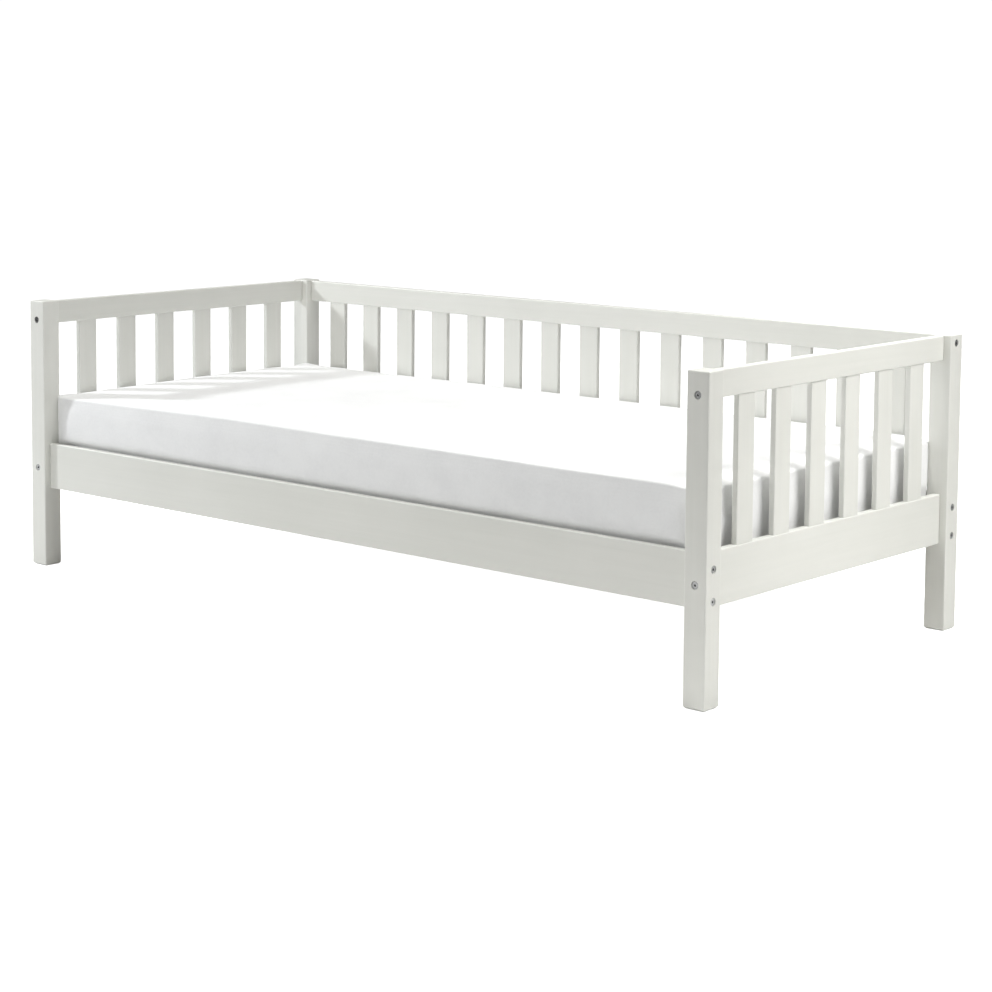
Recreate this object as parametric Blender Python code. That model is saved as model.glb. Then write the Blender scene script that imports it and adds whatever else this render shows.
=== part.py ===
"""A child's bed for a 90 x 200 cm mattress: four square posts, a slatted guard round three sides, an open front.

Metres, +Z up. X runs along the bed, the open front faces -Y, and the origin is on the floor under the middle.
"""

import math

import bmesh
import bpy
from mathutils import Matrix, Vector

# Driving dimensions
LENGTH = 2.086
WIDTH = 0.968
HEIGHT = 0.669
GAP = 0.0003

POST_X = 0.053
POST_Y = 0.050
POST_EDGE = 0.003
EDGE_STEPS = 3
FOOT_CHAMFER = 0.005

BOARD_THICK = 0.018
BOARD_EDGE = 0.003
LOWER_RAIL_Z = (0.1975, 0.3105)
TOP_RAIL_Z = (0.6105, 0.6670)

SLAT_WIDTH = 0.0565
SLAT_THICK = 0.0135
SLAT_EDGE = 0.0025
TENON = 0.015
END_SLATS = 6
END_SLAT_PITCH = 0.1306
BACK_SLATS = 15
BACK_SLAT_PITCH = 0.1270

BOLT_LENGTH = 0.090
BOLT_RADIUS = 0.003
BOLT_END_ROOM = 0.002
CUT_BEYOND = 0.010
HEAD_RADIUS = 0.0080
HEAD_HEIGHT = 0.0045
HEAD_RECESS = 0.0012
HEAD_CHAMFER = 0.0008
HEAD_SIDES = 24
SHANK_SIDES = 12
SOCKET_ACROSS_FLATS = 0.005
SOCKET_DEPTH = 0.0025
END_BOLT_Z = (0.2485, 0.6215)
SIDE_BOLT_Z = (0.2154, 0.2796)
BACK_TOP_BOLT_Z = 0.650

BASE_THICK = 0.015
BASE_TOP_Z = 0.282
BASE_SLATS = 14
BASE_SLAT_WIDTH = 0.070
BASE_SIDE_ROOM = 0.002
BASE_END_ROOM = 0.008
WEBBING_WIDTH = 0.030
WEBBING_THICK = 0.0012
WEBBING_Y = 0.210
WEBBING_SHORT = 0.010
LEDGER_THICK = 0.020
LEDGER_HEIGHT = 0.028
LEDGER_EDGE = 0.001

MATTRESS = Vector((2.000, 0.895, 0.150))
MATTRESS_CORNER = 0.050
CORNER_STEPS = 6
MATTRESS_EDGE = 0.022

# Worked out from the driving dimensions
POST_AT_X = LENGTH / 2 - POST_X / 2
POST_AT_Y = WIDTH / 2 - POST_Y / 2
INNER_X = LENGTH / 2 - POST_X
INNER_Y = WIDTH / 2 - POST_Y
BOARD_INNER_Y = POST_AT_Y - BOARD_THICK / 2

LACQUER = ("lacquered_wood", (0.80, 0.80, 0.77), 0.42, 0.0)
PINE = ("raw_pine", (0.72, 0.56, 0.37), 0.65, 0.0)
STEEL = ("steel", (0.60, 0.60, 0.61), 0.30, 1.0)
COTTON = ("mattress_cover", (0.86, 0.86, 0.87), 0.85, 0.0)


def clear_scene():
    for old in list(bpy.data.objects):
        bpy.data.objects.remove(old)


def material(name, colour, roughness, metallic):
    found = bpy.data.materials.get(name)
    if found:
        return found
    made = bpy.data.materials.new(name)
    made.use_nodes = True
    shader = made.node_tree.nodes["Principled BSDF"]
    shader.inputs["Base Color"].default_value = (*colour, 1.0)
    shader.inputs["Roughness"].default_value = roughness
    shader.inputs["Metallic"].default_value = metallic
    return made


def group(name):
    """An empty at the origin that collects the pieces of one assembly."""
    empty = bpy.data.objects.new(name, None)
    bpy.context.scene.collection.objects.link(empty)
    return empty


def add_object(name, mesh, finish, parent, at=(0, 0, 0)):
    made = bpy.data.objects.new(name, mesh)
    bpy.context.scene.collection.objects.link(made)
    made.data.materials.append(material(*finish))
    made.location = at
    made.parent = parent
    return made


def finished_mesh(shape, name, smooth_below=40):
    """Turns closed bodies in a bmesh into a mesh, facing out and smooth across edges flatter than smooth_below."""
    bmesh.ops.recalc_face_normals(shape, faces=shape.faces[:])
    mesh = bpy.data.meshes.new(name)
    shape.to_mesh(mesh)
    shape.free()
    mesh.shade_smooth()
    mesh.set_sharp_from_angle(angle=math.radians(smooth_below))
    return mesh


def box_mesh(name, size, edge=0.0, segments=EDGE_STEPS):
    """A box centred on its own origin, with its twelve edges rounded."""
    shape = bmesh.new()
    bmesh.ops.create_cube(shape, size=1.0, matrix=Matrix.Diagonal((*size, 1.0)))
    if edge:
        bmesh.ops.bevel(
            shape, geom=shape.edges[:], offset=edge, segments=segments, profile=0.5, affect="EDGES"
        )
    return finished_mesh(shape, name)


def post_mesh(name):
    """A square post with rounded upright and top edges and a wider chamfer round the foot."""
    shape = bmesh.new()
    bmesh.ops.create_cube(shape, size=1.0, matrix=Matrix.Diagonal((POST_X, POST_Y, HEIGHT, 1.0)))
    foot = [e for e in shape.edges if all(v.co.z < 0 for v in e.verts)]
    bmesh.ops.bevel(shape, geom=foot, offset=FOOT_CHAMFER, segments=1, affect="EDGES")
    rest = [e for e in shape.edges if max(v.co.z for v in e.verts) > 0]
    bmesh.ops.bevel(shape, geom=rest, offset=POST_EDGE, segments=EDGE_STEPS, profile=0.5, affect="EDGES")
    return finished_mesh(shape, name)


def add_band(shape, first, second):
    """Faces between two rings of corners, where one ring has a whole number of corners for each of the other's."""
    few, many = sorted((first, second), key=len)
    step = len(many) // len(few)
    for i in range(len(few)):
        outer = [many[(i * step + k) % len(many)] for k in range(step + 1)]
        shape.faces.new([*outer, few[(i + 1) % len(few)], few[i]])


def add_turned(shape, rings, at, along):
    """Adds a closed turned body to a bmesh: rings of (radius, distance, sides) along a direction from a point."""
    place = Matrix.Translation(at) @ Vector(along).to_track_quat("Z", "Y").to_matrix().to_4x4()
    loops = []
    for radius, distance, sides in rings:
        turns = [2 * math.pi * i / sides for i in range(sides)]
        points = [place @ Vector((radius * math.cos(t), radius * math.sin(t), distance)) for t in turns]
        loops.append([shape.verts.new(point) for point in points])
    for first, second in zip(loops, loops[1:]):
        add_band(shape, first, second)
    for rim in (loops[0], loops[-1]):
        shape.faces.new(rim)


def add_box(shape, low, high):
    """Adds a plain closed box between two corners to a bmesh."""
    low, high = Vector(low), Vector(high)
    size = Matrix.Diagonal((*(high - low), 1.0))
    bmesh.ops.create_cube(shape, size=1.0, matrix=Matrix.Translation((low + high) / 2) @ size)


def cut(target, shape, parent):
    """Cuts the closed bodies of a bmesh, which is in world coordinates, out of target."""
    mesh = finished_mesh(shape, target.name + "_cutter")
    cutter = bpy.data.objects.new(mesh.name, mesh)
    bpy.context.scene.collection.objects.link(cutter)
    cutter.hide_render = True
    cutter.display_type = "WIRE"
    cutter.parent = parent
    cutting = target.modifiers.new("cuts", "BOOLEAN")
    cutting.operation = "DIFFERENCE"
    cutting.solver = "EXACT"
    cutting.object = cutter


def bolt_places():
    """(name, point on the post's outer face, direction into the bed) of every bolt."""
    places = []
    for x_name, x_side in (("left", -1), ("right", 1)):
        for y_name, y_side in (("front", -1), ("back", 1)):
            corner = f"{y_name}_{x_name}"
            for level, z in zip(("lower", "upper"), END_BOLT_Z):
                at = Vector((x_side * POST_AT_X, y_side * WIDTH / 2, z))
                places.append((f"bolt_{corner}_end_rail_{level}", at, Vector((0, -y_side, 0))))
            heights = list(zip(("lower", "upper"), SIDE_BOLT_Z))
            if y_name == "back":
                heights.append(("top", BACK_TOP_BOLT_Z))
            for level, z in heights:
                at = Vector((x_side * LENGTH / 2, y_side * POST_AT_Y, z))
                places.append((f"bolt_{corner}_side_rail_{level}", at, Vector((-x_side, 0, 0))))
    return places


def bolt_mesh():
    """A cap bolt along +Z from the top of its head at z = 0, with a hexagon socket in the head."""
    socket_radius = SOCKET_ACROSS_FLATS / math.sqrt(3)
    rings = [
        (socket_radius, SOCKET_DEPTH, 6),
        (socket_radius, 0.0, 6),
        (HEAD_RADIUS - HEAD_CHAMFER, 0.0, HEAD_SIDES),
        (HEAD_RADIUS, HEAD_CHAMFER, HEAD_SIDES),
        (HEAD_RADIUS, HEAD_HEIGHT, HEAD_SIDES),
        (BOLT_RADIUS, HEAD_HEIGHT, SHANK_SIDES),
        (BOLT_RADIUS, HEAD_HEIGHT + BOLT_LENGTH, SHANK_SIDES),
    ]
    shape = bmesh.new()
    add_turned(shape, rings, (0, 0, 0), (0, 0, 1))
    return finished_mesh(shape, "bolt")


def add_bolt_hole(shape, place, inward, from_outside):
    """Adds one bolt's clearance hole to a cutter: with its counterbore, or from inside the post onwards."""
    seat = HEAD_RECESS + HEAD_HEIGHT + GAP
    radius = BOLT_RADIUS + GAP
    end = HEAD_RECESS + HEAD_HEIGHT + BOLT_LENGTH + BOLT_END_ROOM
    rings = [(radius, seat, SHANK_SIDES), (radius, end, SHANK_SIDES)]
    if from_outside:
        wide = HEAD_RADIUS + GAP
        rings = [(wide, -CUT_BEYOND, HEAD_SIDES), (wide, seat, HEAD_SIDES), *rings]
    add_turned(shape, rings, place, inward)


def make_posts(frame):
    mesh = post_mesh("post")
    for x_name, x_side in (("left", -1), ("right", 1)):
        for y_name, y_side in (("front", -1), ("back", 1)):
            at = (x_side * POST_AT_X, y_side * POST_AT_Y, HEIGHT / 2)
            post = add_object(f"{y_name}_{x_name}_post", mesh, LACQUER, frame, at)
            holes = bmesh.new()
            for name, place, inward in bolt_places():
                if name.startswith(f"bolt_{y_name}_{x_name}_"):
                    add_bolt_hole(holes, place, inward, from_outside=True)
            cut(post, holes, frame)


def row(count, pitch):
    """Evenly spaced places about zero."""
    return [pitch * (i - (count - 1) / 2) for i in range(count)]


def make_rail(name, frame, centre, size, slat_points=(), slat_axis=0, from_top=False):
    """A board with a row of slat mortises along one edge, and bolt holes in both ends."""
    rail = add_object(name, box_mesh(name, size, BOARD_EDGE), LACQUER, frame, centre)
    holes = bmesh.new()
    across = 1 if size[0] > size[1] else 0
    for _, place, inward in bolt_places():
        in_line = not inward[across] and abs(place[across] - centre[across]) < GAP
        if in_line and abs(place.z - centre[2]) < size[2] / 2:
            add_bolt_hole(holes, place, inward, from_outside=False)
    half = [SLAT_THICK / 2 + GAP] * 2
    half[slat_axis] = SLAT_WIDTH / 2 + GAP
    outward = 1 if from_top else -1
    edge_z = centre[2] + outward * size[2] / 2
    bottom, top = sorted((edge_z + outward * CUT_BEYOND, edge_z - outward * TENON))
    for x, y in slat_points:
        add_box(holes, (x - half[0], y - half[1], bottom), (x + half[0], y + half[1], top))
    cut(rail, holes, frame)


def make_slats(prefix, frame, points, width_axis):
    """The upright slats of one guard, from tenon end to tenon end."""
    low = LOWER_RAIL_Z[1] - TENON + GAP
    high = TOP_RAIL_Z[0] + TENON - GAP
    size = [SLAT_THICK, SLAT_THICK, high - low]
    size[width_axis] = SLAT_WIDTH
    mesh = box_mesh(prefix, size, SLAT_EDGE)
    for number, (x, y) in enumerate(points, 1):
        add_object(f"{prefix}_{number:02d}", mesh, LACQUER, frame, (x, y, (low + high) / 2))


def make_side(name, frame, y, z_range, slat_points=(), from_top=False):
    size = (2 * INNER_X - 2 * GAP, BOARD_THICK, z_range[1] - z_range[0])
    make_rail(name, frame, (0, y, sum(z_range) / 2), size, slat_points, 0, from_top)


def make_back_guard(frame):
    points = [(x, POST_AT_Y) for x in row(BACK_SLATS, BACK_SLAT_PITCH)]
    make_side("back_lower_rail", frame, POST_AT_Y, LOWER_RAIL_Z, points, from_top=True)
    make_side("back_top_rail", frame, POST_AT_Y, TOP_RAIL_Z, points)
    make_slats("back_guard_slat", frame, points, 0)


def make_end_guard(frame, side_name, x_side):
    x = x_side * POST_AT_X
    points = [(x, y) for y in row(END_SLATS, END_SLAT_PITCH)]
    for level, z_range in (("lower", LOWER_RAIL_Z), ("top", TOP_RAIL_Z)):
        size = (BOARD_THICK, 2 * INNER_Y - 2 * GAP, z_range[1] - z_range[0])
        centre = (x, 0, sum(z_range) / 2)
        name = f"{side_name}_end_{level}_rail"
        make_rail(name, frame, centre, size, points, 1, from_top=level == "lower")
    make_slats(f"{side_name}_end_slat", frame, points, 1)


def make_ledgers(frame):
    """The strips on the inner sides of the long rails, which the slatted base rests on."""
    top = BASE_TOP_Z - BASE_THICK - GAP
    size = (2 * INNER_X - 2 * BASE_END_ROOM, LEDGER_THICK, LEDGER_HEIGHT)
    for name, side in (("front", -1), ("back", 1)):
        y = side * (BOARD_INNER_Y - GAP - LEDGER_THICK / 2)
        mesh = box_mesh(f"{name}_ledger", size, LEDGER_EDGE, 1)
        add_object(f"{name}_ledger_strip", mesh, PINE, frame, (0, y, top - LEDGER_HEIGHT / 2))


def make_base(frame):
    """Flat slats across the bed, held at their spacing by two webbing tapes under them, as one body."""
    length = 2 * INNER_X - 2 * BASE_END_ROOM
    size = Vector((BASE_SLAT_WIDTH, 2 * BOARD_INNER_Y - 2 * BASE_SIDE_ROOM, BASE_THICK))
    middle = BASE_TOP_Z - BASE_THICK / 2
    slats = bmesh.new()
    for x in row(BASE_SLATS, (length - BASE_SLAT_WIDTH) / (BASE_SLATS - 1)):
        low = Vector((x, 0, 0)) - size / 2
        add_box(slats, low, low + size)
    base = add_object("slatted_base", finished_mesh(slats, "slatted_base"), PINE, frame, (0, 0, middle))
    tapes = bmesh.new()
    under = middle - BASE_THICK / 2
    for y in (-WEBBING_Y, WEBBING_Y):
        reach = length / 2 - WEBBING_SHORT
        low = (-reach, y - WEBBING_WIDTH / 2, under - WEBBING_THICK)
        high = (reach, y + WEBBING_WIDTH / 2, under + GAP)
        add_box(tapes, low, high)
    cut(base, tapes, frame)
    base.modifiers["cuts"].operation = "UNION"


def make_mattress(group_of_mattress):
    """A block with rounded upright corners and softer top and bottom edges."""
    shape = bmesh.new()
    bmesh.ops.create_cube(shape, size=1.0, matrix=Matrix.Diagonal((*MATTRESS, 1.0)))
    upright = [e for e in shape.edges if abs(e.verts[0].co.z - e.verts[1].co.z) > MATTRESS_EDGE]
    bmesh.ops.bevel(
        shape, geom=upright, offset=MATTRESS_CORNER, segments=CORNER_STEPS, profile=0.5, affect="EDGES"
    )
    rims = [e for e in shape.edges if abs(e.verts[0].co.z - e.verts[1].co.z) < MATTRESS_EDGE]
    bmesh.ops.bevel(shape, geom=rims, offset=MATTRESS_EDGE, segments=EDGE_STEPS, profile=0.5, affect="EDGES")
    mesh = finished_mesh(shape, "mattress")
    at = (0, 0, BASE_TOP_Z + GAP + MATTRESS.z / 2)
    add_object("mattress", mesh, COTTON, group_of_mattress, at)


def make_bolts(frame):
    mesh = bolt_mesh()
    for name, place, inward in bolt_places():
        bolt = add_object(name, mesh, STEEL, frame, place + inward * HEAD_RECESS)
        bolt.rotation_mode = "QUATERNION"
        bolt.rotation_quaternion = inward.to_track_quat("Z", "Y")


def main():
    clear_scene()
    frame = group("bed_frame")
    make_posts(frame)
    make_side("front_side_rail", frame, -POST_AT_Y, LOWER_RAIL_Z)
    make_back_guard(frame)
    make_end_guard(frame, "left", -1)
    make_end_guard(frame, "right", 1)
    make_ledgers(frame)
    make_base(frame)
    make_bolts(frame)
    make_mattress(group("mattress_lift"))


main()
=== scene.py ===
"""Looks for the three-sided child's bed: lacquered rails, pine base, steel fittings and a soft mattress."""

import math

import bmesh
import bpy
import numpy as np
from mathutils import Matrix, Vector, noise


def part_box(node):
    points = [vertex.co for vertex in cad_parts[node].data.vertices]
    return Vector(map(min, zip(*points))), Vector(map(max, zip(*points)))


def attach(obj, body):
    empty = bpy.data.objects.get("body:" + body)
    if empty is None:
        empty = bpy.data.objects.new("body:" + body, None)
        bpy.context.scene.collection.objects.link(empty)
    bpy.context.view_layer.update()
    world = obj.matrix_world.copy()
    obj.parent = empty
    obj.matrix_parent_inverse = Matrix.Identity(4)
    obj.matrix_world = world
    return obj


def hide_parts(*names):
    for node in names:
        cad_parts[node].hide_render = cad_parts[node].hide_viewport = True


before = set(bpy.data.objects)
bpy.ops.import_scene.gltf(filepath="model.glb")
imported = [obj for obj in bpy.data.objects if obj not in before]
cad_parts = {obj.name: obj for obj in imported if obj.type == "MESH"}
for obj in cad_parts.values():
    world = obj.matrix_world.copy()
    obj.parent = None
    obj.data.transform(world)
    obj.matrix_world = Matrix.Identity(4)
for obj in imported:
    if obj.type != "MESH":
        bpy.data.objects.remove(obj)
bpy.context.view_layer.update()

# Camera: a long lens from in front and to the right of the bed, in the frame's metres and radians.
SENSOR = 36.0
LENS = 83.98
SHIFT_Y = -0.20
CAMERA_AT = (3.6147, -4.0903, 1.2118)
CAMERA_YAW, CAMERA_PITCH, CAMERA_ROLL = 0.7123, 0.0911, -0.0076

# Lamps: name, place, point it faces, width, height, spread in degrees, power in watts, colour.
LAMPS = (
    ("key", (-2.82, -1.41, 1.88), (-0.6, 0.0, 0.40), 0.20, 0.20, 180, 46.0, (0.95, 0.975, 1.0)),
    ("front_fill", (0.0, -5.0, 1.4), (0.1, 0.0, 0.35), 3.0, 2.0, 180, 44.0, (1.0, 0.995, 0.97)),
    ("right_fill", (2.10, 0.20, 1.85), (1.04, 0.0, 0.30), 1.3, 1.3, 84, 11.6, (1.0, 0.995, 0.97)),
    ("top_fill", (-0.5, -0.2, 4.2), (-0.2, 0.0, 0.30), 2.4, 1.8, 180, 108.0, (1.0, 0.99, 0.955)),
    ("back_fill", (-0.6, 4.6, 1.9), (-0.2, 0.5, 0.35), 3.4, 2.0, 180, 42.0, (1.0, 1.0, 1.0)),
)
WORLD_STRENGTH = 0.075
BACKDROP_STRENGTH = 1.05
# Glow of the floor for the camera alone: near the bed, and past FLOOR_FADE, where it is plain white.
FLOOR_NEAR, FLOOR_FAR, FLOOR_FADE = 0.98, 1.05, (1.2, 3.6)

WHITE_LACQUER = ((0.735, 0.740, 0.700), (0.790, 0.792, 0.755))
# Painted highlight: a lighter colour mixed onto the bevelled edges of the lacquer, standing in for light
# caught by them.
PAINTED_EDGE_HIGHLIGHT = (0.84, 0.845, 0.815)
PINE_LIGHT, PINE_MIDDLE, PINE_DARK = (0.79, 0.64, 0.44), (0.72, 0.55, 0.35), (0.57, 0.38, 0.20)
STEEL_LIGHT, STEEL_DARK = (0.56, 0.565, 0.57), (0.30, 0.305, 0.31)
COVER_LIGHT, COVER_SHADE = (0.90, 0.905, 0.912), (0.84, 0.845, 0.855)
TAPE_LIGHT, TAPE_SHADE = (0.62, 0.60, 0.56), (0.45, 0.43, 0.40)

# The cover against its CAD solid: added half sizes, radii, grid steps, lines near its edges, swells, sags.
MATTRESS_GROW = np.array((0.0010, 0.0000, 0.0022))
MATTRESS_SHIFT = np.array((-0.0040, 0.0, 0.0))
MATTRESS_CORNER, MATTRESS_EDGE = 0.020, 0.005
MATTRESS_STEP = (0.014, 0.014, 0.012)
MATTRESS_NEAR_EDGE = (0.0, 0.0018, 0.0040, 0.0070, 0.0120, 0.0200)
MATTRESS_CAP = 0.005
FRONT_SWELL, BACK_SWELL, END_SWELL = 0.0105, 0.0030, 0.0030
POST_ROOM = 0.0012
SIM_FRAMES = 16
CORNER_SAG, END_SAG = 0.0055, 0.0072
# How far the cover may stand out of its CAD box, along X and Y, below the top of the lower rails.
BELOW_RAIL = (0.0060, 0.0015)

# Fittings: (radius, height) of a head, its profile from seat to socket, then counts, places and wire.
NUT_HEAD, SCREW_HEAD = (0.0050, 0.0006), (0.0042, 0.0022)
HEAD_PROFILE = ((1.0, 0.0), (1.0, 0.6), (0.80, 1.0), (0.42, 1.0), (0.36, 0.35), (0.0, 0.30))
HEAD_SIDES, PROUD = 20, 0.00005
NUT_FROM_END = 0.005
LEDGER_SCREWS, SCREW_FROM_END = 7, 0.06
TAPE_AT_Y, TAPE_THICK, STAPLE_X, STAPLE_Y = 0.210, 0.0013, 0.018, 0.008
STAPLE_WIRE, STAPLE_SIDES = 0.0005, 6
STAPLE_PATH = ((-0.0055, 0.0007), (-0.0048, -0.0003), (0.0048, -0.0003), (0.0055, 0.0007))


# ---------------------------------------------------------------- node helpers
class Recipe:
    """One Principled material and short calls that add nodes to it."""

    def __init__(self, name):
        self.material = bpy.data.materials.new(name)
        self.material.use_nodes = True
        self.tree = self.material.node_tree
        self.tree.nodes.clear()
        output = self.tree.nodes.new("ShaderNodeOutputMaterial")
        self.shader = self.tree.nodes.new("ShaderNodeBsdfPrincipled")
        self.tree.links.new(self.shader.outputs[0], output.inputs[0])

    def node(self, kind, links=None, values=None, **settings):
        made = self.tree.nodes.new(kind)
        for key, value in settings.items():
            setattr(made, key, value)
        for socket, value in (values or {}).items():
            made.inputs[socket].default_value = value
        for socket, source in (links or {}).items():
            self.tree.links.new(source, made.inputs[socket])
        return made

    def math(self, operation, a, b=None, clamp=False):
        made = self.node("ShaderNodeMath", operation=operation, use_clamp=clamp)
        for index, value in enumerate((a, b)):
            if isinstance(value, (int, float)):
                made.inputs[index].default_value = value
            elif value is not None:
                self.tree.links.new(value, made.inputs[index])
        return made.outputs[0]

    def place(self, scale, shuffled=True):
        """Object coordinates, moved by an amount of each object's own, and scaled along each axis."""
        place = self.node("ShaderNodeTexCoord").outputs["Object"]
        if shuffled:
            own = self.node("ShaderNodeObjectInfo").outputs["Random"]
            shift = self.node("ShaderNodeVectorMath", {0: own}, {1: (3.1, 5.7, 7.9)}, operation="MULTIPLY")
            moved = self.node("ShaderNodeVectorMath", {0: place, 1: shift.outputs[0]}, operation="ADD")
            place = moved.outputs[0]
        return self.node("ShaderNodeVectorMath", {0: place}, {1: scale}, operation="MULTIPLY").outputs[0]

    def noise(self, vector, scale=1.0, detail=2.0, roughness=0.5, distortion=0.0):
        values = {"Scale": scale, "Detail": detail, "Roughness": roughness, "Distortion": distortion}
        return self.node("ShaderNodeTexNoise", {"Vector": vector}, values).outputs["Fac"]

    def ramp(self, factor, stops):
        made = self.node("ShaderNodeValToRGB", {"Fac": factor})
        elements = made.color_ramp.elements
        while len(elements) < len(stops):
            elements.new(0.5)
        for element, (at, colour) in zip(elements, stops):
            element.position = at
            element.color = (*colour, 1.0) if len(colour) == 3 else colour
        return made.outputs["Color"]

    def grey(self, factor, low, high, start=0.0, end=1.0):
        values = {"From Min": start, "From Max": end, "To Min": low, "To Max": high}
        return self.node("ShaderNodeMapRange", {"Value": factor}, values).outputs["Result"]

    def mix(self, factor, a, b):
        made = self.node("ShaderNodeMix", data_type="RGBA")
        for index, value in ((0, factor), (6, a), (7, b)):
            if isinstance(value, (int, float)):
                made.inputs[index].default_value = value
            elif isinstance(value, tuple):
                made.inputs[index].default_value = (*value, 1.0)
            else:
                self.tree.links.new(value, made.inputs[index])
        return made.outputs[2]

    def edge(self, start=0.93, end=0.995):
        """1 on bevels and other faces that look along no axis, 0 on the flat faces of a board."""
        normal = self.node("ShaderNodeTexCoord").outputs["Normal"]
        size = self.node("ShaderNodeVectorMath", {0: normal}, operation="ABSOLUTE").outputs[0]
        parts = self.node("ShaderNodeSeparateXYZ", {0: size}).outputs
        most = self.math("MAXIMUM", self.math("MAXIMUM", parts[0], parts[1]), parts[2])
        return self.grey(most, 1.0, 0.0, start, end)

    def bump(self, height, distance, strength=1.0, under=None):
        links = {"Height": height}
        if under is not None:
            links["Normal"] = under
        values = {"Distance": distance, "Strength": strength}
        return self.node("ShaderNodeBump", links, values).outputs["Normal"]

    def finish(self, colour, roughness, normal, **constants):
        for socket, source in (("Base Color", colour), ("Roughness", roughness), ("Normal", normal)):
            self.tree.links.new(source, self.shader.inputs[socket])
        for socket, value in constants.items():
            self.shader.inputs[socket.replace("_", " ")].default_value = value
        return self.material


def along(axis, fine, coarse):
    """Scale that stretches a texture along one axis."""
    scale = [fine, fine, fine]
    scale["xyz".index(axis)] = coarse
    return tuple(scale)


def lacquer(axis):
    """Satin white lacquer over wood whose grain runs along the axis and still shows a little in the film."""
    r = Recipe(f"white_lacquer_{axis}")
    tone = r.noise(r.place((2.3, 2.3, 2.3)), detail=3.0, roughness=0.55)
    streaks = r.noise(r.place(along(axis, 95.0, 2.6)), detail=5.0, roughness=0.62, distortion=0.4)
    pores = r.noise(r.place(along(axis, 640.0, 16.0)), detail=2.0, roughness=0.5)
    peel = r.noise(r.place((420.0, 420.0, 420.0)), detail=1.0)
    mixed = r.math("ADD", r.math("MULTIPLY", tone, 0.62), r.math("MULTIPLY", streaks, 0.38))
    low, high = WHITE_LACQUER
    colour = r.ramp(mixed, ((0.34, low), (0.66, high)))
    # Painted highlight: the bevels are mixed part way towards a lighter colour, standing in for light caught
    # by the edges.
    colour = r.mix(r.math("MULTIPLY", r.edge(), 0.55), colour, PAINTED_EDGE_HIGHLIGHT)
    even = r.math("ADD", r.math("MULTIPLY", tone, 0.5), r.math("MULTIPLY", streaks, 0.5))
    roughness = r.grey(even, 0.30, 0.46, 0.3, 0.7)
    normal = r.bump(streaks, 0.00022, 0.55)
    normal = r.bump(pores, 0.00006, 0.45, normal)
    normal = r.bump(peel, 0.00005, 0.5, normal)
    gloss = {"Specular_IOR_Level": 0.42, "Coat_Weight": 0.12, "Coat_Roughness": 0.28}
    return r.finish(colour, roughness, normal, **gloss)


def pine(axis):
    """Planed, unfinished pine with growth bands, fibres and a few knots."""
    r = Recipe(f"planed_pine_{axis}")
    place = r.place(along(axis, 30.0, 1.7))
    warp = r.noise(place, scale=0.6, detail=3.0, roughness=0.6)
    wave = r.node(
        "ShaderNodeTexWave", {"Vector": r.place(along(axis, 26.0, 0.55))},
        {"Scale": 1.1, "Distortion": 5.5, "Detail": 2.0, "Detail Scale": 0.8}, wave_type="BANDS",
        bands_direction="DIAGONAL",
    ).outputs["Fac"]
    fibres = r.noise(r.place(along(axis, 900.0, 14.0)), detail=3.0, roughness=0.6)
    rings = r.math("ADD", r.math("MULTIPLY", wave, 0.7), r.math("MULTIPLY", warp, 0.3))
    colour = r.ramp(rings, ((0.18, PINE_LIGHT), (0.62, PINE_MIDDLE), (0.92, PINE_DARK)))
    knots = r.node("ShaderNodeTexVoronoi", {"Vector": r.place(along(axis, 9.0, 3.4))}, {"Scale": 1.0})
    near = r.grey(knots.outputs["Distance"], 1.0, 0.0, 0.05, 0.13)
    colour = r.mix(r.math("MULTIPLY", near, 0.75, clamp=True), colour, (0.25, 0.12, 0.05))
    colour = r.mix(r.math("MULTIPLY", fibres, 0.22), colour, PINE_DARK)
    roughness = r.grey(fibres, 0.55, 0.78)
    normal = r.bump(fibres, 0.00018, 0.6, r.bump(wave, 0.0002, 0.4))
    return r.finish(colour, roughness, normal, Specular_IOR_Level=0.3)


def steel():
    """Zinc-plated steel with a turned, slightly mottled skin."""
    r = Recipe("zinc_plated_steel")
    cloud = r.noise(r.place((260.0, 260.0, 260.0)), detail=4.0, roughness=0.6)
    turned = r.noise(r.place((90.0, 90.0, 2600.0)), detail=2.0)
    colour = r.ramp(cloud, ((0.28, STEEL_DARK), (0.62, STEEL_LIGHT)))
    roughness = r.grey(cloud, 0.14, 0.30, 0.3, 0.7)
    normal = r.bump(turned, 0.00004, 0.5, r.bump(cloud, 0.00005, 0.4))
    return r.finish(colour, roughness, normal, Metallic=1.0)


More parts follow.
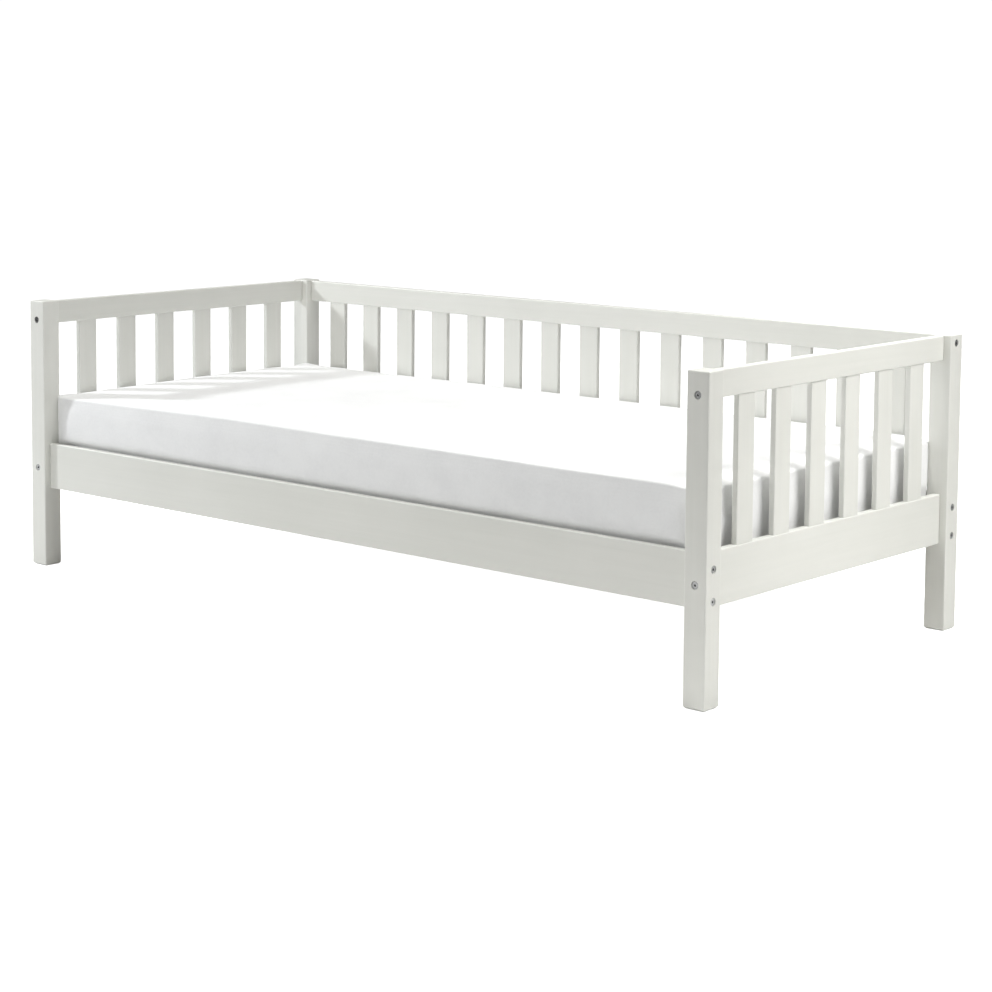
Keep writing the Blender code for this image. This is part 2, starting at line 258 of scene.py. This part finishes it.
def cloth(name, light, shade, pitch, relief, sheen):
    """Plain-woven cloth: two sets of threads on whichever face is looked at, with soft mottling."""
    r = Recipe(name)
    wave = []
    for axis in "XYZ":
        values = {"Scale": 1.0, "Distortion": 0.35, "Detail": 1.0, "Detail Scale": 2.0}
        turns = math.pi / (10.0 * pitch)
        made = r.node(
            "ShaderNodeTexWave", {"Vector": r.place((turns, turns, turns), shuffled=False)}, values,
            wave_type="BANDS", bands_direction=axis,
        )
        wave.append(made.outputs["Fac"])
    pairs = [r.math("MULTIPLY", wave[i], wave[j]) for i, j in ((0, 1), (1, 2), (0, 2))]
    weave = r.math("ADD", r.math("ADD", pairs[0], pairs[1]), pairs[2])
    slub = r.noise(r.place((160.0, 160.0, 160.0), shuffled=False), detail=3.0, roughness=0.65)
    cloud = r.noise(r.place((9.0, 9.0, 9.0), shuffled=False), detail=4.0, roughness=0.6)
    mottled = r.math("ADD", r.math("MULTIPLY", slub, 0.4), r.math("MULTIPLY", cloud, 0.6))
    colour = r.ramp(mottled, ((0.30, shade), (0.58, light)))
    colour = r.mix(r.grey(weave, 0.07, 0.0, 0.0, 1.1), colour, tuple(0.8 * c for c in shade))
    roughness = r.grey(slub, 0.78, 0.95)
    normal = r.bump(weave, relief, 0.7, r.bump(cloud, 0.0012, 0.5))
    made = r.finish(colour, roughness, normal, Specular_IOR_Level=0.22)
    r.shader.inputs["Sheen Weight"].default_value = sheen
    r.shader.inputs["Sheen Roughness"].default_value = 0.55
    return made


LACQUER = {axis: lacquer(axis) for axis in "xyz"}
PINE = {axis: pine(axis) for axis in "xy"}
STEEL = steel()
COVER = cloth("white_cotton_cover", COVER_LIGHT, COVER_SHADE, 0.0011, 0.00010, 0.25)
TAPE = cloth("base_tape", TAPE_LIGHT, TAPE_SHADE, 0.0020, 0.0004, 0.1)


def dress(obj, material):
    obj.data.materials.clear()
    obj.data.materials.append(material)


def dress_nodes():
    for name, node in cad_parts.items():
        if name.startswith("bolt_"):
            dress(node, STEEL)
        elif "ledger" in name:
            dress(node, PINE["x"])
        elif name == "slatted_base":
            dress(node, PINE["y"])
            node.data.materials.append(TAPE)
            top_of_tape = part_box(name)[0].z + TAPE_THICK
            for face in node.data.polygons:
                if all(node.data.vertices[i].co.z < top_of_tape for i in face.vertices):
                    face.material_index = 1
        elif name != "mattress":
            low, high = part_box(name)
            longest = max(range(3), key=lambda i: high[i] - low[i])
            dress(node, LACQUER["xyz"[longest]])


# ---------------------------------------------------------------- mesh helpers
def new_object(name, mesh, material, smooth=True):
    obj = bpy.data.objects.new(name, mesh)
    bpy.context.scene.collection.objects.link(obj)
    dress(obj, material)
    mesh.polygons.foreach_set("use_smooth", [smooth] * len(mesh.polygons))
    return obj


def apply_modifiers(obj):
    bpy.context.view_layer.update()
    evaluated = obj.evaluated_get(bpy.context.evaluated_depsgraph_get())
    mesh = bpy.data.meshes.new_from_object(evaluated)
    obj.modifiers.clear()
    obj.data = mesh
    return obj


def points_of(mesh):
    flat = np.empty(len(mesh.vertices) * 3)
    mesh.vertices.foreach_get("co", flat)
    return flat.reshape(-1, 3)


def turned_head(bm, at, facing, radius, height):
    """A low round head with a chamfered rim and a round socket, as a lathe profile round its facing."""
    turn = facing.to_track_quat("Z", "Y").to_matrix().to_4x4()
    matrix = Matrix.Translation(at) @ turn
    profile = [(radius * across, height * up) for across, up in HEAD_PROFILE]
    sides, rings = HEAD_SIDES, []
    for r, z in profile[:-1]:
        rings.append([
            bm.verts.new(matrix @ Vector((r * math.cos(a), r * math.sin(a), z)))
            for a in (2 * math.pi * k / sides for k in range(sides))
        ])
    for lower, upper in zip(rings, rings[1:]):
        for k in range(sides):
            bm.faces.new((lower[k], lower[(k + 1) % sides], upper[(k + 1) % sides], upper[k]))
    tip = bm.verts.new(matrix @ Vector((0.0, 0.0, profile[-1][1])))
    base = bm.verts.new(matrix @ Vector((0.0, 0.0, 0.0)))
    for k in range(sides):
        bm.faces.new((rings[-1][k], rings[-1][(k + 1) % sides], tip))
        bm.faces.new((rings[0][(k + 1) % sides], rings[0][k], base))


def sweep(bm, path, radius, sides):
    """A round wire along an open path of points."""
    rings, count = [], len(path)
    for i, point in enumerate(path):
        before, after = path[max(i - 1, 0)], path[min(i + 1, count - 1)]
        along_path = (after - before).normalized()
        side = along_path.cross(Vector((0, 0, 1)))
        side = side.normalized() if side.length > 1e-6 else Vector((1, 0, 0))
        up = side.cross(along_path)
        turns = [2 * math.pi * k / sides for k in range(sides)]
        rings.append([bm.verts.new(point + radius * (math.cos(a) * side + math.sin(a) * up)) for a in turns])
    for first, second in zip(rings, rings[1:]):
        for k in range(sides):
            bm.faces.new((first[k], first[(k + 1) % sides], second[(k + 1) % sides], second[k]))
    bm.faces.new(rings[0][::-1])
    bm.faces.new(rings[-1])


def finished(bm, name):
    bmesh.ops.recalc_face_normals(bm, faces=bm.faces)
    mesh = bpy.data.meshes.new(name)
    bm.to_mesh(mesh)
    bm.free()
    return mesh


# ---------------------------------------------------------------- mattress
def grid_lines(reach, spacing):
    """Positions along one axis: even steps, and closer ones towards both ends, where the edge turns."""
    close = [reach - d for d in MATTRESS_NEAR_EDGE]
    count = max(2, round(2 * close[-1] / spacing))
    even = [-close[-1] + 2 * close[-1] * k / count for k in range(1, count)]
    return [-c for c in close] + even + close[::-1]


def block_mesh(half):
    """A closed block of quads round the origin, with corners and edges still square."""
    lines = [grid_lines(half[i], MATTRESS_STEP[i]) for i in range(3)]
    bm, found = bmesh.new(), {}

    def corner(ijk):
        if ijk not in found:
            found[ijk] = bm.verts.new([lines[axis][ijk[axis]] for axis in range(3)])
        return found[ijk]

    for axis in range(3):
        u, v = (axis + 1) % 3, (axis + 2) % 3
        for end in (0, len(lines[axis]) - 1):
            for i in range(len(lines[u]) - 1):
                for j in range(len(lines[v]) - 1):
                    quad = []
                    for di, dj in ((0, 0), (1, 0), (1, 1), (0, 1)):
                        ijk = [0, 0, 0]
                        ijk[axis], ijk[u], ijk[v] = end, i + di, j + dj
                        quad.append(corner(tuple(ijk)))
                    bm.faces.new(quad if end else quad[::-1])
    return finished(bm, "mattress_cover")


def rounded(points, half, corner, edge):
    """Rounds the block's upright corners, and then its top and bottom edges."""
    points = points.copy()
    core = np.clip(points[:, :2], -(half[:2] - corner), half[:2] - corner)
    out = points[:, :2] - core
    reach, length = np.abs(out).max(1), np.linalg.norm(out, axis=1)
    points[:, :2] = core + out * (reach / np.maximum(length, 1e-9))[:, None]
    core = np.clip(points[:, :2], -(half[:2] - corner), half[:2] - corner)
    out = points[:, :2] - core
    length = np.linalg.norm(out, axis=1)
    flat = np.abs(points[:, :2]) - (half[:2] - corner)
    depth = corner - np.where(length > 1e-9, length, flat.max(1))
    outward = np.where((length > 1e-9)[:, None], out / np.maximum(length, 1e-9)[:, None], 0.0)
    a = np.clip(edge - depth, 0.0, None)
    b = np.clip(edge - (half[2] - np.abs(points[:, 2])), 0.0, None)
    square, circle = np.maximum(a, b), np.maximum(np.hypot(a, b), 1e-9)
    turning = (a > 0) & (b > 0)
    keep = np.where(turning, square / circle, 1.0)
    points[:, :2] += outward * (a * keep - a)[:, None]
    points[:, 2] += np.sign(points[:, 2]) * (b * keep - b)
    return points


def simulate_cover(obj):
    """Blows the cover up a little over its core, so that faces crown and corners pull in."""
    start = points_of(obj.data)
    modifier = obj.modifiers.new("cover", "CLOTH")
    settings = modifier.settings
    settings.quality = 6
    settings.mass = 0.35
    settings.tension_stiffness = settings.compression_stiffness = 22.0
    settings.shear_stiffness = 8.0
    settings.bending_stiffness = 1.2
    settings.use_pressure = True
    settings.uniform_pressure_force = 2.5
    settings.effector_weights.gravity = 0.0
    modifier.collision_settings.use_collision = False
    modifier.collision_settings.use_self_collision = False
    modifier.point_cache.frame_start, modifier.point_cache.frame_end = 1, SIM_FRAMES
    scene = bpy.context.scene
    for step in range(1, SIM_FRAMES + 1):
        scene.frame_set(step)
    apply_modifiers(obj)
    scene.frame_set(1)
    moved = points_of(obj.data) - start
    size = np.linalg.norm(moved, axis=1, keepdims=True)
    limit = MATTRESS_CAP * np.tanh(size / MATTRESS_CAP)
    obj.data.vertices.foreach_set("co", (start + moved * limit / np.maximum(size, 1e-9)).ravel())


def fold(point, *scale):
    return noise.noise(Vector(point[i] * scale[i] for i in range(3)))


def settle(obj, low, high):
    """Folds, the swell of the sides over the lower rails and between the slats, and room for the posts."""
    rail_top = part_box("front_side_rail")[1].z
    half = (high - low) / 2
    slats = [[sum(c.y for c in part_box(n)) / 2 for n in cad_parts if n.startswith(f"{side}_end_slat")]
             for side in ("left", "right")]
    slat_half = (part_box("left_end_slat_01")[1].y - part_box("left_end_slat_01")[0].y) / 2
    posts = [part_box(n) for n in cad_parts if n.endswith("_post")]
    for vertex in obj.data.vertices:
        co = vertex.co
        u, v = co.x / half.x, co.y / half.y
        above = co.z - rail_top
        end_side = smooth_step(abs(u), 0.965, 0.992)
        long_side = smooth_step(abs(v), 0.93, 0.985)
        soft = fold(co, 7.0, 7.0, 3.0) + 0.6 * fold((co.x + 0.7 * co.z, co.y, co.z), 21.0, 21.0, 9.0)
        crease = max(0.0, fold((co.x + 0.5 * co.z, co.y + 0.5 * co.z, co.z + 4.0), 13.0, 13.0, 2.0) - 0.25)
        swell = smooth_step(above, 0.0012, 0.014) * (1.0 - 0.55 * smooth_step(above, 0.075, 0.125))
        if long_side > 0:
            most = FRONT_SWELL if v < 0 else BACK_SWELL
            push = long_side * most * swell * (1 - smooth_step(abs(u), 0.955, 0.985))
            push -= long_side * (0.0016 * abs(soft) + 0.0030 * crease)
            co.y += push * (1 if v > 0 else -1)
        if end_side > 0:
            near = min(abs(co.y - y) for y in slats[0 if u < 0 else 1])
            gap = smooth_step(near, slat_half + 0.001, slat_half + 0.030)
            push = end_side * (END_SWELL * gap * swell - 0.0012 * abs(soft) - 0.0022 * crease)
            co.x += push * (1 if u > 0 else -1)
        top = smooth_step(above, 0.075, 0.120)
        sag = CORNER_SAG * smooth_step(-u, 0.25, 1.0) * smooth_step(-v, -0.2, 1.0)
        sag += END_SAG * smooth_step(u, 0.91, 1.0)
        co.z += top * (0.0012 * fold(co, 2.6, 2.6, 1.0) - sag)
        co.z = max(co.z, low.z + 0.0004)
        if above < 0.0012:
            co.y = min(max(co.y, low.y - BELOW_RAIL[1]), high.y + BELOW_RAIL[1])
            co.x = min(max(co.x, low.x - BELOW_RAIL[0]), high.x + BELOW_RAIL[0])
        for post_low, post_high in posts:
            keep_out(co, post_low, post_high)


def smooth_step(value, start, end):
    t = min(max((value - start) / (end - start), 0.0), 1.0)
    return t * t * (3 - 2 * t)


def keep_out(co, low, high):
    """Presses a point out of an upright post, through the nearer of its two inner faces."""
    inner_x = high.x if co.x < 0 else low.x
    inner_y = high.y if co.y < 0 else low.y
    into_x = (inner_x - co.x) * (1 if co.x < 0 else -1) + POST_ROOM
    into_y = (inner_y - co.y) * (1 if co.y < 0 else -1) + POST_ROOM
    if min(into_x, into_y) <= 0 or (co.x < 0) != (low.x < 0) or (co.y < 0) != (low.y < 0):
        return
    if into_x < into_y:
        co.x += into_x * (1 if co.x < 0 else -1)
    else:
        co.y += into_y * (1 if co.y < 0 else -1)


def make_mattress():
    low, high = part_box("mattress")
    half = np.array((high - low) / 2) + MATTRESS_GROW
    middle = np.array((low + high) / 2) + MATTRESS_SHIFT
    obj = new_object("mattress_cover", block_mesh(half), COVER)
    shaped = rounded(points_of(obj.data), half, MATTRESS_CORNER, MATTRESS_EDGE) + middle
    obj.data.vertices.foreach_set("co", shaped.ravel())
    simulate_cover(obj)
    settle(obj, low, high)
    finer = obj.modifiers.new("finer", "SUBSURF")
    finer.levels = finer.render_levels = 1
    apply_modifiers(obj)
    obj.data.polygons.foreach_set("use_smooth", [True] * len(obj.data.polygons))
    dress(obj, COVER)
    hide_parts("mattress")
    return obj


# ---------------------------------------------------------------- fittings
def make_fittings():
    """Cross-dowel nuts at the bolts' inner ends, screws through the ledgers, staples through the tapes."""
    nuts = bmesh.new()
    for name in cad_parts:
        if not name.startswith("bolt_"):
            continue
        low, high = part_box(name)
        centre = (low + high) / 2
        lengthwise = 0 if high.x - low.x > high.y - low.y else 1
        inner = Vector(centre)
        side = -1 if centre[lengthwise] < 0 else 1
        inner[lengthwise] = (high if side < 0 else low)[lengthwise] + side * NUT_FROM_END
        if "end_rail_upper" in name:
            rail = "left_end_top_rail" if centre.x < 0 else "right_end_top_rail"
            inner.z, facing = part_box(rail)[0].z, Vector((0, 0, -1))
        elif "end_rail_lower" in name:
            rail = "left_end_lower_rail" if centre.x < 0 else "right_end_lower_rail"
            inner.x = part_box(rail)[1].x if centre.x < 0 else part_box(rail)[0].x
            facing = Vector((1 if centre.x < 0 else -1, 0, 0))
        elif name.endswith("_top"):
            inner.y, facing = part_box("back_top_rail")[1].y, Vector((0, 1, 0))
        else:
            rail = "front_side_rail" if centre.y < 0 else "back_lower_rail"
            inner.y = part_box(rail)[1].y if centre.y < 0 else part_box(rail)[0].y
            facing = Vector((0, 1 if centre.y < 0 else -1, 0))
        turned_head(nuts, inner + PROUD * facing, facing, *NUT_HEAD)
    fittings = [new_object("cross_dowel_nuts", finished(nuts, "cross_dowel_nuts"), STEEL)]
    screws = bmesh.new()
    for ledger, inward in (("front_ledger_strip", 1), ("back_ledger_strip", -1)):
        low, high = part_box(ledger)
        face, level = (high.y if inward > 0 else low.y), (low.z + high.z) / 2
        for k in range(LEDGER_SCREWS):
            x = low.x + SCREW_FROM_END + (high.x - low.x - 2 * SCREW_FROM_END) * k / (LEDGER_SCREWS - 1)
            facing = Vector((0, inward, 0))
            turned_head(screws, Vector((x, face, level)) + PROUD * facing, facing, *SCREW_HEAD)
    fittings.append(new_object("ledger_screws", finished(screws, "ledger_screws"), STEEL))
    staples = bmesh.new()
    under_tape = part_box("slatted_base")[0].z
    for x in slat_rows():
        for y in (-TAPE_AT_Y, TAPE_AT_Y):
            for dx in (-STAPLE_X, STAPLE_X):
                for dy in (-STAPLE_Y, STAPLE_Y):
                    path = [Vector((x + dx, y + dy + across, under_tape + up)) for across, up in STAPLE_PATH]
                    sweep(staples, path, STAPLE_WIRE, STAPLE_SIDES)
    fittings.append(new_object("base_staples", finished(staples, "base_staples"), STEEL))
    return fittings


def slat_rows():
    """Middle of each base slat along the bed, found from the node's own points."""
    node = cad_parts["slatted_base"].data
    top = max(v.co.z for v in node.vertices)
    marks = sorted({round(v.co.x, 4) for v in node.vertices if abs(v.co.z - top) < 1e-4})
    edges = [marks[0]]
    for mark in marks[1:]:
        if mark - edges[-1] > 0.01:
            edges.append(mark)
    return [(a + b) / 2 for a, b in zip(edges[::2], edges[1::2])]


# ---------------------------------------------------------------- stage
def floor_material():
    r = Recipe("pale_floor")
    grain = r.noise(r.place((1.7, 1.7, 1.7), shuffled=False), detail=3.0)
    colour = r.ramp(grain, ((0.3, (0.92, 0.92, 0.915)), (0.7, (0.94, 0.94, 0.935))))
    r.tree.links.new(colour, r.shader.inputs["Base Color"])
    r.shader.inputs["Roughness"].default_value = 0.9
    r.shader.inputs["Specular IOR Level"].default_value = 0.1
    away = r.node("ShaderNodeVectorMath", {0: r.place((1.0, 1.0, 0.0), shuffled=False)}, operation="LENGTH")
    glow = r.grey(away.outputs["Value"], FLOOR_NEAR, FLOOR_FAR, *FLOOR_FADE)
    seen = r.node("ShaderNodeLightPath").outputs["Is Camera Ray"]
    r.tree.links.new(r.math("MULTIPLY", glow, seen), r.shader.inputs["Emission Strength"])
    r.shader.inputs["Emission Color"].default_value = (1.0, 1.0, 1.0, 1.0)
    return r.material


def make_stage():
    bm = bmesh.new()
    bmesh.ops.create_circle(bm, cap_ends=True, segments=96, radius=40.0)
    floor = new_object("studio_floor", finished(bm, "studio_floor"), floor_material())
    floor.location.z = -0.0006
    world = bpy.data.worlds.new("studio")
    bpy.context.scene.world = world
    world.use_nodes = True
    tree = world.node_tree
    tree.nodes.clear()
    output = tree.nodes.new("ShaderNodeOutputWorld")
    pick = tree.nodes.new("ShaderNodeMixShader")
    path = tree.nodes.new("ShaderNodeLightPath")
    soft, seen = (tree.nodes.new("ShaderNodeBackground") for _ in range(2))
    soft.inputs["Color"].default_value = (0.97, 0.985, 1.0, 1.0)
    soft.inputs["Strength"].default_value = WORLD_STRENGTH
    seen.inputs["Color"].default_value = (1.0, 1.0, 1.0, 1.0)
    seen.inputs["Strength"].default_value = BACKDROP_STRENGTH
    tree.links.new(path.outputs["Is Camera Ray"], pick.inputs[0])
    tree.links.new(soft.outputs[0], pick.inputs[1])
    tree.links.new(seen.outputs[0], pick.inputs[2])
    tree.links.new(pick.outputs[0], output.inputs[0])


def make_lamps():
    for name, place, target, width, height, spread, power, colour in LAMPS:
        data = bpy.data.lights.new(name, "AREA")
        data.shape = "RECTANGLE"
        data.size, data.size_y = width, height
        data.spread = math.radians(spread)
        data.energy = power
        data.color = colour
        lamp = bpy.data.objects.new(name, data)
        bpy.context.scene.collection.objects.link(lamp)
        lamp.location = place
        lamp.visible_camera = False
        lamp.rotation_mode = "QUATERNION"
        lamp.rotation_quaternion = (Vector(target) - Vector(place)).to_track_quat("-Z", "Y")


def make_camera():
    forward = Vector((
        -math.sin(CAMERA_YAW) * math.cos(CAMERA_PITCH),
        math.cos(CAMERA_YAW) * math.cos(CAMERA_PITCH),
        -math.sin(CAMERA_PITCH),
    ))
    level = Vector((math.cos(CAMERA_YAW), math.sin(CAMERA_YAW), 0.0))
    down = forward.cross(level)
    right = math.cos(CAMERA_ROLL) * level + math.sin(CAMERA_ROLL) * down
    up = math.sin(CAMERA_ROLL) * level - math.cos(CAMERA_ROLL) * down
    data = bpy.data.cameras.new("camera")
    data.sensor_fit, data.sensor_width, data.lens, data.shift_y = "HORIZONTAL", SENSOR, LENS, SHIFT_Y
    data.clip_start, data.clip_end = 0.1, 100.0
    camera = bpy.data.objects.new("camera", data)
    bpy.context.scene.collection.objects.link(camera)
    axes = Matrix((right, up, -forward)).transposed().to_4x4()
    camera.matrix_world = Matrix.Translation(CAMERA_AT) @ axes
    bpy.context.scene.camera = camera


make_camera()
dress_nodes()
cover = make_mattress()
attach(cover, "mattress")
for fitting in make_fittings():
    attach(fitting, "frame")
make_stage()
make_lamps()
bpy.context.scene.view_settings.view_transform = "Standard"
